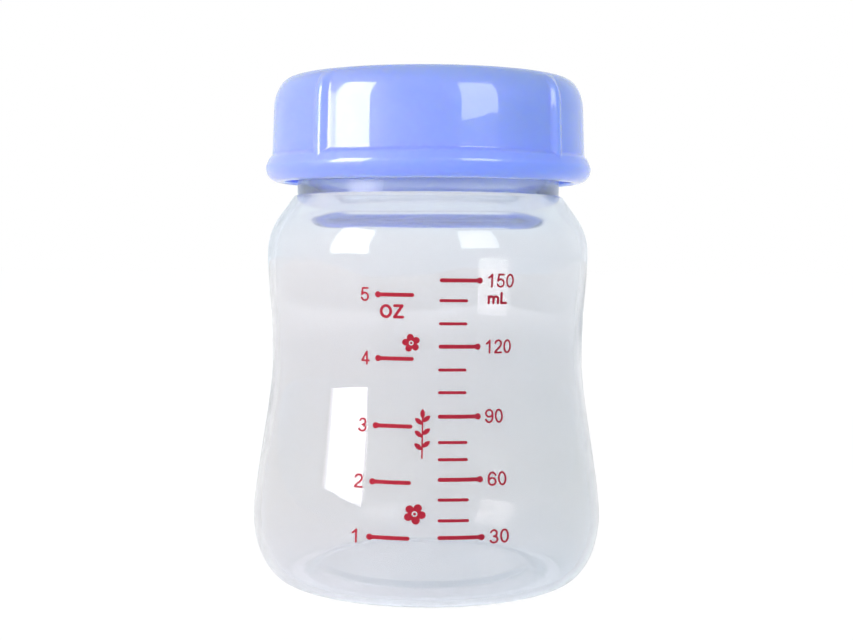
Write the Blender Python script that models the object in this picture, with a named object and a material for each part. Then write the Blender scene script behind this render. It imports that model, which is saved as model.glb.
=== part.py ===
"""A milk storage bottle with a screw cap and a sealing disc, in metres, +Z up.

The origin is at the centre of the standing ring. The bottle is a thin moulded shell turned about Z, with a recessed
base, a belly, a waist, a rounded shoulder and a straight neck. The disc lies on the neck's rim with its dish in the
mouth. The cap goes over both: it has a rounded top, four grip ribs, a round bead at its foot and, inside, a small bead
that holds the disc when the cap is lifted.
"""

import math

import bmesh
import bpy

# Neck of the bottle, which the shell and the closure take their radii from
NECK_RADIUS = 0.0249
NECK_LENGTH = 0.0187
NECK_WALL = 0.0018
RIM_ROUND = 0.0005

# Shell of the bottle, each radius stepped from the one above it and each height from the one below
COLLAR_LEDGE = 0.0006  # step from the neck out to the shoulder
SHOULDER_WIDTH = 0.0050
WAIST_DEPTH = 0.0009
BELLY_SWELL = 0.00365
FOOT_REACH = 0.00705  # from the standing ring's edge out to the belly
BELLY_HEIGHT = 0.0125
WAIST_RISE = 0.0292
UPPER_RISE = 0.0209
SHOULDER_RISE = 0.0103
SHOULDER_BEND = 0.0108
WALL = 0.0013

# Base of the bottle
FOOT_RING_WIDTH = 0.0024
BASE_BEND_WIDTH = 0.0048
BASE_RECESS = 0.0016

# Sealing disc
SEAT_GAP = 0.0003  # between pieces that rest on each other
DISC_THICKNESS = 0.0012
DISC_DISH_DEPTH = 0.0022
DISC_DISH_LEAN = 0.0006  # how far the dish's side leans in towards its floor
DISC_BORE_CLEARANCE = 0.0004
DISC_EDGE_ROUND = 0.0003

# Inside of the cap
THREAD_ROOM = 0.0027  # between the neck and the cap's bore
HOLD_CLEARANCE = 0.0008  # between the neck and the bead that holds the disc
HOLD_REACH = 0.0005  # how far that bead reaches under the disc
HOLD_RISE = 0.0006  # height of each of its flanks
SEAT_TAPER = 0.0020  # height of the cone from there out to the bore
MOUTH_CHAMFER = 0.0004
MOUTH_LAND = 0.0002

# Outside of the cap
CAP_WALL = 0.0021
CAP_TOP_WALL = 0.0016
CAP_LEAN = 0.0003  # how far the wall leans in from its foot to the corner
CORNER_INSET = 0.0037
CORNER_DROP = 0.0061
SKIRT_GAP = 0.0025  # between the bottle's collar and the cap
BEAD_PROUD = 0.0012
BEAD_DROP = 0.00265  # from the bead's widest line down to the underside
BEAD_RISE = 0.0029  # and up to the wall

# Grip ribs
RIB_COUNT = 4
RIB_WIDTH = 0.0042
RIB_PROUD = 0.0008
RIB_TURN = math.radians(5.1)  # how far the ribs stand past the diagonals
RIB_FADE_SHARES = (0.15, 0.80)  # of the corner's quarter turn, where a rib starts to sink and where it is gone

# Shares of a span's height that its two handles take, from its lower end to its upper end
BELLY_TO_WAIST_SHARES = (0.16, 0.16)
WAIST_TO_UPPER_SHARES = (0.58, 0.29)
BEAD_TO_WALL_SHARES = (0.60, 0.25)
BASE_BEND_SHARES = (0.50, 0.50)
LARGEST_BEND_SHARE = 0.98  # of the bend that would reach the collar itself

# Fineness
COLUMNS = 60
RIB_COLUMNS = 6
SPAN_STEPS = 6
ROUND_STEPS = 6
EDGE_STEPS = 2
SHARP_EDGE = math.radians(35)
SAME_POINT = 0.000001

# Radii and heights that follow from the sizes above
QUARTER_TURN = math.pi / 2
FULL_TURN = 2 * math.pi
BORE_RADIUS = NECK_RADIUS - NECK_WALL
COLLAR_RADIUS = NECK_RADIUS + COLLAR_LEDGE
UPPER_RADIUS = COLLAR_RADIUS + SHOULDER_WIDTH
WAIST_RADIUS = UPPER_RADIUS - WAIST_DEPTH
BELLY_RADIUS = WAIST_RADIUS + BELLY_SWELL
FOOT_RADIUS = BELLY_RADIUS - FOOT_REACH
WAIST_HEIGHT = BELLY_HEIGHT + WAIST_RISE
UPPER_HEIGHT = WAIST_HEIGHT + UPPER_RISE
COLLAR_HEIGHT = UPPER_HEIGHT + SHOULDER_RISE
RIM_HEIGHT = COLLAR_HEIGHT + NECK_LENGTH
DISC_HEIGHT = RIM_HEIGHT + SEAT_GAP
DISH_RADIUS = BORE_RADIUS - DISC_BORE_CLEARANCE
HOLD_RADIUS = NECK_RADIUS + HOLD_CLEARANCE
DISC_RADIUS = HOLD_RADIUS + HOLD_REACH
CAP_HEIGHT = COLLAR_HEIGHT + SKIRT_GAP
CAP_BORE_RADIUS = NECK_RADIUS + THREAD_ROOM
CAP_FOOT_RADIUS = CAP_BORE_RADIUS + CAP_WALL
DISC_IN_CAP = DISC_HEIGHT - CAP_HEIGHT
CAP_CEILING = DISC_IN_CAP + DISC_THICKNESS + SEAT_GAP
CAP_TOP = CAP_CEILING + CAP_TOP_WALL
CORNER_BASE = CAP_TOP - CORNER_DROP
WALL_FOOT = BEAD_DROP + BEAD_RISE


def clear_scene():
    """Remove every object of the scene."""
    for item in list(bpy.data.objects):
        bpy.data.objects.remove(item, do_unlink=True)


def moulded_plastic(name, colour, roughness, transmission):
    """Return a moulded plastic of one colour."""
    material = bpy.data.materials.new(name)
    material.use_nodes = True
    shader = material.node_tree.nodes["Principled BSDF"]
    shader.inputs["Base Color"].default_value = (*colour, 1.0)
    shader.inputs["Roughness"].default_value = roughness
    shader.inputs["Metallic"].default_value = 0.0
    shader.inputs["Transmission Weight"].default_value = transmission
    material.diffuse_color = (*colour, 1.0)
    return material


def arc(centre, reach, start, end, steps):
    """Return points on an ellipse round centre, whose reach is its half width and half height."""
    points = []
    for step in range(steps + 1):
        angle = start + (end - start) * step / steps
        points.append((centre[0] + reach[0] * math.cos(angle), centre[1] + reach[1] * math.sin(angle)))
    return points


def upright_span(start, end, shares, steps):
    """Return a Bezier curve whose two ends stand upright, with handles that are shares of its height."""
    rise = end[1] - start[1]
    low = start[1] + shares[0] * rise
    high = end[1] - shares[1] * rise
    points = []
    for step in range(steps + 1):
        along = step / steps
        back = 1 - along
        first, second = back ** 3, 3 * back ** 2 * along
        third, fourth = 3 * back * along ** 2, along ** 3
        radius = (first + second) * start[0] + (third + fourth) * end[0]
        points.append((radius, first * start[1] + second * low + third * high + fourth * end[1]))
    return points


def level_span(start, end, shares, steps):
    """Return the same kind of curve with ends that lie level."""
    turned = upright_span(start[::-1], end[::-1], shares, steps)
    return [(radius, height) for height, radius in turned]


def rounded_corner(before, corner, after, reach):
    """Return the points that round a corner off, starting the given reach before it."""
    points = []
    arms = []
    for neighbour in (before, after):
        share = reach / math.dist(corner, neighbour)
        arms.append([place + share * (far - place) for place, far in zip(corner, neighbour)])
    for step in range(EDGE_STEPS + 1):
        along = step / EDGE_STEPS
        weights = ((1 - along) ** 2, 2 * along * (1 - along), along ** 2)
        points.append(tuple(sum(w * p for w, p in zip(weights, trio)) for trio in zip(arms[0], corner, arms[1])))
    return points


def joined(*spans):
    """Return the spans as one outline, with the points that neighbours share kept once."""
    outline = []
    for point in (point for span in spans for point in span):
        if not outline or math.dist(outline[-1], point) > SAME_POINT:
            outline.append(point)
    return outline


def offset(outline, distance):
    """Return the outline moved to the left of its direction by the distance."""
    moved = []
    for index, (radius, height) in enumerate(outline):
        before = outline[max(index - 1, 0)]
        after = outline[min(index + 1, len(outline) - 1)]
        length = math.dist(before, after)
        left = ((before[1] - after[1]) / length, (after[0] - before[0]) / length)
        moved.append((radius + distance * left[0], height + distance * left[1]))
    return moved


def turned_object(name, outline_at, azimuths, material, height, parent=None):
    """Return an object turned about Z.

    outline_at gives the outline at an azimuth, from the axis round the solid and back to the axis, with the solid on
    the left. height is the place of the outline's zero above the parent, or above the ground.
    """
    mesh = bpy.data.meshes.new(name)
    build = bmesh.new()
    outline = outline_at(azimuths[0])
    poles = [build.verts.new((0, 0, outline[0][1])), build.verts.new((0, 0, outline[-1][1]))]
    columns = []
    for azimuth in azimuths:
        across, deep = math.cos(azimuth), math.sin(azimuth)
        points = outline_at(azimuth)[1:-1]
        columns.append([build.verts.new((radius * across, radius * deep, rise)) for radius, rise in points])
    for column, following in zip(columns, columns[1:] + columns[:1]):
        build.faces.new((poles[0], following[0], column[0]))
        for index in range(len(column) - 1):
            build.faces.new((column[index], following[index], following[index + 1], column[index + 1]))
        build.faces.new((column[-1], following[-1], poles[1]))
    bmesh.ops.recalc_face_normals(build, faces=build.faces)
    build.to_mesh(mesh)
    build.free()
    mesh.shade_smooth()
    mesh.set_sharp_from_angle(angle=SHARP_EDGE)
    mesh.materials.append(material)
    item = bpy.data.objects.new(name, mesh)
    bpy.context.collection.objects.link(item)
    item.location = (0, 0, height)
    item.parent = parent
    return item


def even_azimuths():
    """Return the azimuths of a plain turned piece."""
    return [FULL_TURN * column / COLUMNS for column in range(COLUMNS)]


def shoulder():
    """Return the shoulder's outline: a bend that runs straight on to the edge of the collar."""
    rise = COLLAR_HEIGHT - UPPER_HEIGHT
    width = UPPER_RADIUS - COLLAR_RADIUS
    largest = LARGEST_BEND_SHARE * (rise ** 2 + width ** 2) / (2 * width)
    bend = min(SHOULDER_BEND, largest)
    centre = (UPPER_RADIUS - bend, UPPER_HEIGHT)
    far = math.dist(centre, (COLLAR_RADIUS, COLLAR_HEIGHT))
    slope = math.atan2(rise, COLLAR_RADIUS - centre[0]) - math.acos(bend / far)
    return joined(arc(centre, (bend, bend), 0, slope, ROUND_STEPS), [(COLLAR_RADIUS, COLLAR_HEIGHT)])


def shell():
    """Return the outside of the bottle from the middle of its base up to the collar."""
    ring = FOOT_RADIUS - FOOT_RING_WIDTH
    recess = ring - BASE_BEND_WIDTH
    return joined(
        [(0, BASE_RECESS)],
        level_span((recess, BASE_RECESS), (ring, 0), BASE_BEND_SHARES, SPAN_STEPS),
        arc((FOOT_RADIUS, BELLY_HEIGHT), (FOOT_REACH, BELLY_HEIGHT), -QUARTER_TURN, 0, ROUND_STEPS),
        upright_span((BELLY_RADIUS, BELLY_HEIGHT), (WAIST_RADIUS, WAIST_HEIGHT), BELLY_TO_WAIST_SHARES, SPAN_STEPS),
        upright_span((WAIST_RADIUS, WAIST_HEIGHT), (UPPER_RADIUS, UPPER_HEIGHT), WAIST_TO_UPPER_SHARES, SPAN_STEPS),
        shoulder(),
    )


def rim():
    """Return the neck's outline from the collar over the rim and into the bore."""
    outside = (NECK_RADIUS, RIM_HEIGHT)
    inside = (BORE_RADIUS, RIM_HEIGHT)
    collar = (NECK_RADIUS, COLLAR_HEIGHT)
    bore_foot = (BORE_RADIUS, COLLAR_HEIGHT)
    return joined(
        [collar],
        rounded_corner(collar, outside, inside, RIM_ROUND),
        rounded_corner(outside, inside, bore_foot, RIM_ROUND),
    )


def bottle_outline():
    """Return the bottle's whole outline: the shell, the neck and the hollow, one wall inside the shell."""
    outside = shell()
    hollow = offset(outside, WALL)
    low, high = hollow[-2:]
    climb = (high[1] - low[1]) / (high[0] - low[0])
    hollow[-1] = (BORE_RADIUS, low[1] + climb * (BORE_RADIUS - low[0]))
    return joined(outside, rim(), reversed(hollow))


def disc_outline():
    """Return the sealing disc's outline from under its middle, with zero at the underside of its edge."""
    floor_radius = DISH_RADIUS - DISC_DISH_LEAN
    under = (0, -DISC_DISH_DEPTH)
    dish = (floor_radius, -DISC_DISH_DEPTH)
    root = (DISH_RADIUS, 0)
    low_edge = (DISC_RADIUS, 0)
    high_edge = (DISC_RADIUS, DISC_THICKNESS)
    lip = (DISH_RADIUS - DISC_THICKNESS, DISC_THICKNESS)
    floor = (floor_radius - DISC_THICKNESS, DISC_THICKNESS - DISC_DISH_DEPTH)
    middle = (0, floor[1])
    return joined(
        [under],
        rounded_corner(under, dish, root, DISC_EDGE_ROUND),
        [root],
        rounded_corner(root, low_edge, high_edge, DISC_EDGE_ROUND),
        rounded_corner(low_edge, high_edge, lip, DISC_EDGE_ROUND),
        rounded_corner(high_edge, lip, floor, DISC_EDGE_ROUND),
        rounded_corner(lip, floor, middle, DISC_EDGE_ROUND),
        [middle],
    )


def cap_inside():
    """Return the inside of the cap from its ceiling down to its mouth, with zero at its underside."""
    seat_radius = DISC_RADIUS + SEAT_GAP
    hold_top = DISC_IN_CAP - SEAT_GAP
    hold = (HOLD_RADIUS, hold_top - HOLD_RISE)
    hold_foot = hold_top - 2 * HOLD_RISE
    return [
        (0, CAP_CEILING),
        (seat_radius, CAP_CEILING),
        (seat_radius, hold_top),
        hold,
        (seat_radius, hold_foot),
        (CAP_BORE_RADIUS, hold_foot - SEAT_TAPER),
        (CAP_BORE_RADIUS, MOUTH_CHAMFER),
        (CAP_BORE_RADIUS + MOUTH_CHAMFER, 0),
    ]


def cap_outside():
    """Return the outside of the cap from its underside round the bead, the wall and the corner to the top."""
    land = CAP_BORE_RADIUS + MOUTH_CHAMFER + MOUTH_LAND
    bead_radius = CAP_FOOT_RADIUS + BEAD_PROUD
    wall_head = CAP_FOOT_RADIUS - CAP_LEAN
    return joined(
        arc((land, BEAD_DROP), (bead_radius - land, BEAD_DROP), -QUARTER_TURN, 0, ROUND_STEPS),
        upright_span((bead_radius, BEAD_DROP), (CAP_FOOT_RADIUS, WALL_FOOT), BEAD_TO_WALL_SHARES, SPAN_STEPS),
        arc((wall_head - CORNER_INSET, CORNER_BASE), (CORNER_INSET, CORNER_DROP), 0, QUARTER_TURN, ROUND_STEPS),
        [(0, CAP_TOP)],
    )


def rib_swell(azimuth):
    """Return how much of a rib's full rise stands at the azimuth: 1 on its crest, 0 past its sides."""
    pitch = FULL_TURN / RIB_COUNT
    aside = (azimuth - RIB_TURN) % pitch - pitch / 2
    width = RIB_WIDTH / CAP_FOOT_RADIUS
    if abs(aside) > width / 2:
        return 0
    return (1 + math.cos(FULL_TURN * aside / width)) / 2


def ribbed(point, swell):
    """Return a point of the cap's outside, moved out to where the rib over it stands."""
    radius, height = point
    if height < BEAD_DROP:
        return point
    if height < WALL_FOOT:
        return max(radius, CAP_FOOT_RADIUS + RIB_PROUD * swell), height
    climb = min(max(height - CORNER_BASE, 0) / CORNER_DROP, 1)
    angle = math.asin(climb)
    start, end = (share * QUARTER_TURN for share in RIB_FADE_SHARES)
    sunk = min(max((angle - start) / (end - start), 0), 1)
    rise = RIB_PROUD * swell * (1 + math.cos(math.pi * sunk)) / 2
    return radius + rise * math.cos(angle), height + rise * math.sin(angle)


def cap_outline(azimuth):
    """Return the cap's whole outline at an azimuth."""
    swell = rib_swell(azimuth)
    return joined(cap_inside(), [ribbed(point, swell) for point in cap_outside()])


def cap_azimuths():
    """Return the azimuths of the cap's columns, close together across each rib and even between them."""
    pitch = FULL_TURN / RIB_COUNT
    width = RIB_WIDTH / CAP_FOOT_RADIUS
    between = COLUMNS // RIB_COUNT
    azimuths = []
    for rib in range(RIB_COUNT):
        side = RIB_TURN + (rib + 1 / 2) * pitch - width / 2
        azimuths += [side + width * column / RIB_COLUMNS for column in range(RIB_COLUMNS)]
        azimuths += [side + width + (pitch - width) * column / between for column in range(between)]
    return azimuths


def build_bottle_body():
    """Return the bottle's body, standing on its ring."""
    clear = moulded_plastic("natural_polypropylene", (0.80, 0.82, 0.87), 0.18, 0.85)
    outline = bottle_outline()
    return turned_object("bottle_body", lambda azimuth: outline, even_azimuths(), clear, 0)


def build_closure():
    """Return the disc and the cap, which hang on one empty on the bottle's axis at the height of the rim."""
    closure = bpy.data.objects.new("closure_axis", None)
    bpy.context.collection.objects.link(closure)
    closure.location = (0, 0, RIM_HEIGHT)
    white = moulded_plastic("milky_polypropylene", (0.85, 0.86, 0.88), 0.35, 0.3)
    blue = moulded_plastic("blue_polypropylene", (0.27, 0.36, 0.92), 0.12, 0.0)
    outline = disc_outline()
    disc = turned_object(
        "sealing_disc", lambda azimuth: outline, even_azimuths(), white, DISC_HEIGHT - RIM_HEIGHT, closure
    )
    cap = turned_object("screw_cap", cap_outline, cap_azimuths(), blue, CAP_HEIGHT - RIM_HEIGHT, closure)
    return disc, cap


def main():
    """Build the bottle and its closure."""
    clear_scene()
    build_bottle_body()
    build_closure()


main()
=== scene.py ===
"""Looks of a milk storage bottle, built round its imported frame.

Lengths are in metres, +Z is up and the origin is the centre of the standing ring. The printed graduations
face -Y. Each sub-assembly is a class: the bottle, the scale printed on it, the sealing disc, the screw cap
and the studio.
"""

import logging
import math
from collections import Counter
from dataclasses import dataclass
from enum import Enum
from typing import Callable, Sequence

import bpy
import numpy as np
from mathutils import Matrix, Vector


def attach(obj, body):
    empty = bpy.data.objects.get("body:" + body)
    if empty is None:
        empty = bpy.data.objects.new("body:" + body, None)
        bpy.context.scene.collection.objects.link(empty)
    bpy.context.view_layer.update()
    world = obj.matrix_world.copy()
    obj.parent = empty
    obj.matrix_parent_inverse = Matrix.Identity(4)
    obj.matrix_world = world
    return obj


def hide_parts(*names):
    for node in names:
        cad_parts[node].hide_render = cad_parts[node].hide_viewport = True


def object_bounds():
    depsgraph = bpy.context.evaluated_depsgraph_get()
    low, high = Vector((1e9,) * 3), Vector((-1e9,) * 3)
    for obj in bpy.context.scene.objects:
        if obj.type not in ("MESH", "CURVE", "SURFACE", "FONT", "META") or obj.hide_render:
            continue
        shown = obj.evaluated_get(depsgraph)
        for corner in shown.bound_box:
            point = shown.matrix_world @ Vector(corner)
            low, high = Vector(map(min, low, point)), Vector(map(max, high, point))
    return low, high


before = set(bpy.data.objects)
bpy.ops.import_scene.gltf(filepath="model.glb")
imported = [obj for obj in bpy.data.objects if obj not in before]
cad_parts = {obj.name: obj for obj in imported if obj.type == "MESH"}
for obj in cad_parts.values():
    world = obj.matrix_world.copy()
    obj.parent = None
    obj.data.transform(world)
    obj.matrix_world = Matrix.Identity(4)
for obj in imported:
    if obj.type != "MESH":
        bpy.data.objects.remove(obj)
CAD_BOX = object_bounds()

LOG = logging.getLogger("milk_bottle")

Point = tuple[float, float]
Outline = list[Point]
Colour = tuple[float, float, float]

MM = 0.001
QUARTER_TURN = math.pi / 2
HALF_TURN = math.pi
FULL_TURN = 2 * math.pi
SAME_POINT = 0.001 * MM
SHARP_EDGE = math.radians(38)
NOISE_ENDS = (0.3, 0.7)
PLASTIC_IOR = 1.49


# Outlines


def arc(centre: Point, reach: Point, start: float, end: float, steps: int) -> Outline:
    """Return points on an ellipse.

    Args:
        centre: Middle of the ellipse.
        reach: Its half width and half height.
        start: First angle, from the outward direction.
        end: Last angle.
        steps: Number of stretches between the points.

    Returns:
        The points from start to end.
    """
    angles = (start + (end - start) * step / steps for step in range(steps + 1))
    return [(centre[0] + reach[0] * math.cos(a), centre[1] + reach[1] * math.sin(a)) for a in angles]


def straight(start: Point, end: Point, steps: int) -> Outline:
    """Return evenly spaced points from start to end.

    Args:
        start: First point.
        end: Last point.
        steps: Number of stretches between the points.

    Returns:
        The points, both ends among them.
    """
    shares = (step / steps for step in range(steps + 1))
    return [(start[0] + (end[0] - start[0]) * s, start[1] + (end[1] - start[1]) * s) for s in shares]


def upright_span(start: Point, end: Point, shares: Point, steps: int) -> Outline:
    """Return a Bezier curve whose two ends stand upright.

    Args:
        start: Lower end.
        end: Upper end.
        shares: Length of the lower and upper handle, as shares of the curve's height.
        steps: Number of stretches between the points.

    Returns:
        The points from start to end.
    """
    rise = end[1] - start[1]
    low = start[1] + shares[0] * rise
    high = end[1] - shares[1] * rise
    points = []
    for step in range(steps + 1):
        along = step / steps
        back = 1 - along
        first, second = back**3, 3 * back**2 * along
        third, fourth = 3 * back * along**2, along**3
        radius = (first + second) * start[0] + (third + fourth) * end[0]
        points.append((radius, first * start[1] + second * low + third * high + fourth * end[1]))
    return points


def level_span(start: Point, end: Point, shares: Point, steps: int) -> Outline:
    """Return the same kind of curve with ends that lie level.

    Args:
        start: Inner end.
        end: Outer end.
        shares: Length of the inner and outer handle, as shares of the curve's width.
        steps: Number of stretches between the points.

    Returns:
        The points from start to end.
    """
    turned = upright_span(start[::-1], end[::-1], shares, steps)
    return [(radius, height) for height, radius in turned]


def rounded_corner(before: Point, corner: Point, after: Point, reach: float, steps: int = 5) -> Outline:
    """Return the points that round a corner off.

    Args:
        before: A point on the line that comes in.
        corner: The corner itself.
        after: A point on the line that goes out.
        reach: How far from the corner the rounding starts and ends.
        steps: Number of stretches between the points.

    Returns:
        The points of the rounding.
    """
    arms = []
    for neighbour in (before, after):
        share = reach / math.dist(corner, neighbour)
        arms.append([place + share * (far - place) for place, far in zip(corner, neighbour)])
    points = []
    for step in range(steps + 1):
        along = step / steps
        weights = ((1 - along) ** 2, 2 * along * (1 - along), along**2)
        trios = zip(arms[0], corner, arms[1])
        points.append(tuple(sum(w * p for w, p in zip(weights, trio)) for trio in trios))
    return points


def joined(*spans: Sequence[Point]) -> Outline:
    """Return the spans as one outline, with the points that neighbours share kept once.

    Args:
        spans: Outlines in order.

    Returns:
        The whole outline.
    """
    outline: Outline = []
    for point in (point for span in spans for point in span):
        if not outline or math.dist(outline[-1], point) > SAME_POINT:
            outline.append(point)
    return outline


def offset(outline: Outline, distances: Sequence[float]) -> Outline:
    """Return the outline moved to the left of its direction.

    Args:
        outline: Points in order.
        distances: How far to move each of them.

    Returns:
        As many points, each moved square to its neighbours' line.
    """
    moved = []
    for index, ((radius, height), distance) in enumerate(zip(outline, distances)):
        before = outline[max(index - 1, 0)]
        after = outline[min(index + 1, len(outline) - 1)]
        length = math.dist(before, after)
        left = ((before[1] - after[1]) / length, (after[0] - before[0]) / length)
        moved.append((radius + distance * left[0], height + distance * left[1]))
    return moved


def eased(value: float, start: float, end: float) -> float:
    """Return 0 before start, 1 past end and a smooth step between them."""
    share = min(max((value - start) / (end - start), 0.0), 1.0)
    return share * share * (3 - 2 * share)


# Meshes


def link_object(name: str, mesh: bpy.types.Mesh, material: bpy.types.Material) -> bpy.types.Object:
    """Return a new object of the scene with the mesh and one material.

    Args:
        name: The piece's name.
        mesh: Its finished mesh.
        material: What it is made of.

    Returns:
        The object.
    """
    mesh.materials.append(material)
    item = bpy.data.objects.new(name, mesh)
    bpy.context.scene.collection.objects.link(item)
    return item


@dataclass(frozen=True)
class TurnedSkin:
    """A closed skin turned about Z, whose outline may change with the azimuth.

    The outline runs from the axis round the solid and back to the axis, with the solid on its left. It has
    as many points at every azimuth.
    """

    name: str
    outline_at: Callable[[float], Outline]
    azimuths: Sequence[float]

    def build(self, material: bpy.types.Material) -> bpy.types.Object:
        """Return the skin as a smooth object.

        Args:
            material: What it is made of.

        Returns:
            The object, in place.
        """
        first = self.outline_at(self.azimuths[0])
        places = [(0.0, 0.0, first[0][1]), (0.0, 0.0, first[-1][1])]
        rows = len(first) - 2
        for azimuth in self.azimuths:
            across, deep = math.cos(azimuth), math.sin(azimuth)
            column = self.outline_at(azimuth)[1:-1]
            places += [(radius * across, radius * deep, height) for radius, height in column]
        mesh = bpy.data.meshes.new(self.name)
        mesh.from_pydata(places, [], self.faces(rows))
        mesh.validate()
        mesh.shade_smooth()
        mesh.set_sharp_from_angle(angle=SHARP_EDGE)
        return link_object(self.name, mesh, material)

    def faces(self, rows: int) -> list[tuple[int, ...]]:
        """Return the faces between the columns, which share the two points on the axis.

        Args:
            rows: Number of points in each column.

        Returns:
            Each face's points, turning outwards.
        """
        found: list[tuple[int, ...]] = []
        columns = len(self.azimuths)
        for column in range(columns):
            near = 2 + column * rows
            far = 2 + (column + 1) % columns * rows
            found.append((0, far, near))
            found += [(near + row, far + row, far + row + 1, near + row + 1) for row in range(rows - 1)]
            found.append((near + rows - 1, far + rows - 1, 1))
        return found


def even_azimuths(columns: int) -> list[float]:
    """Return that many azimuths, evenly spaced from +X."""
    return [FULL_TURN * column / columns for column in range(columns)]


@dataclass(frozen=True)
class HelicalThread:
    """A single-start right-hand thread that stands on a turned wall and sinks into it at both ends."""

    start: float
    azimuth: float
    turns: float
    height: float
    lead: float = 6.0 * MM
    root: float = 3.2 * MM
    crest: float = 1.6 * MM
    run_out: float = math.radians(28)

    def rise(self, azimuth: float, height: float) -> float:
        """Return how far the thread stands out from its wall.

        Args:
            azimuth: Direction of the place from the axis.
            height: Its height.

        Returns:
            The rise, 0 beside the thread.
        """
        best = 0.0
        angle = (azimuth - self.azimuth) % FULL_TURN
        whole = self.turns * FULL_TURN
        while angle < whole:
            aside = abs(height - self.start - self.lead * angle / FULL_TURN)
            flank = 1 - eased(aside, self.crest / 2, self.root / 2)
            ends = eased(angle, 0, self.run_out) * eased(whole - angle, 0, self.run_out)
            best = max(best, flank * ends)
            angle += FULL_TURN
        return self.height * best

    def nested(self, start: float, turns: float, height: float, shift: float) -> "HelicalThread":
        """Return the mating thread, which runs between this one's turns.

        Args:
            start: Height at which it begins.
            turns: How far it runs.
            height: How far it stands out from its own wall.
            shift: How far it lies above the middle between two turns of this thread.

        Returns:
            The thread of the other part.
        """
        foot = self.start - self.lead / 2 + shift
        azimuth = self.azimuth + FULL_TURN * (start - foot) / self.lead
        return HelicalThread(start, azimuth, turns, height, self.lead, self.root, self.crest, self.run_out)


# Finishes


def add_node(
    tree: bpy.types.NodeTree, kind: str, **values: float | tuple[float, ...]
) -> bpy.types.Node:
    """Return a new node.

    Args:
        tree: The nodes to add it to.
        kind: Its type.
        values: Its inputs by name, with _ for a space.

    Returns:
        The node.
    """
    made = tree.nodes.new(kind)
    for label, value in values.items():
        made.inputs[label.replace("_", " ")].default_value = value
    return made


def combined(
    tree: bpy.types.NodeTree, operation: str, *values: bpy.types.NodeSocket | float
) -> bpy.types.NodeSocket:
    """Return what a sum of several numbers comes to.

    Args:
        tree: The nodes to add it to.
        operation: The kind of sum.
        values: Its numbers, or the sockets that they come from.

    Returns:
        The result.
    """
    made = add_node(tree, "ShaderNodeMath")
    made.operation = operation
    for socket, value in zip(made.inputs, values):
        if isinstance(value, bpy.types.NodeSocket):
            tree.links.new(value, socket)
        else:
            socket.default_value = value
    return made.outputs["Value"]


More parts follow.
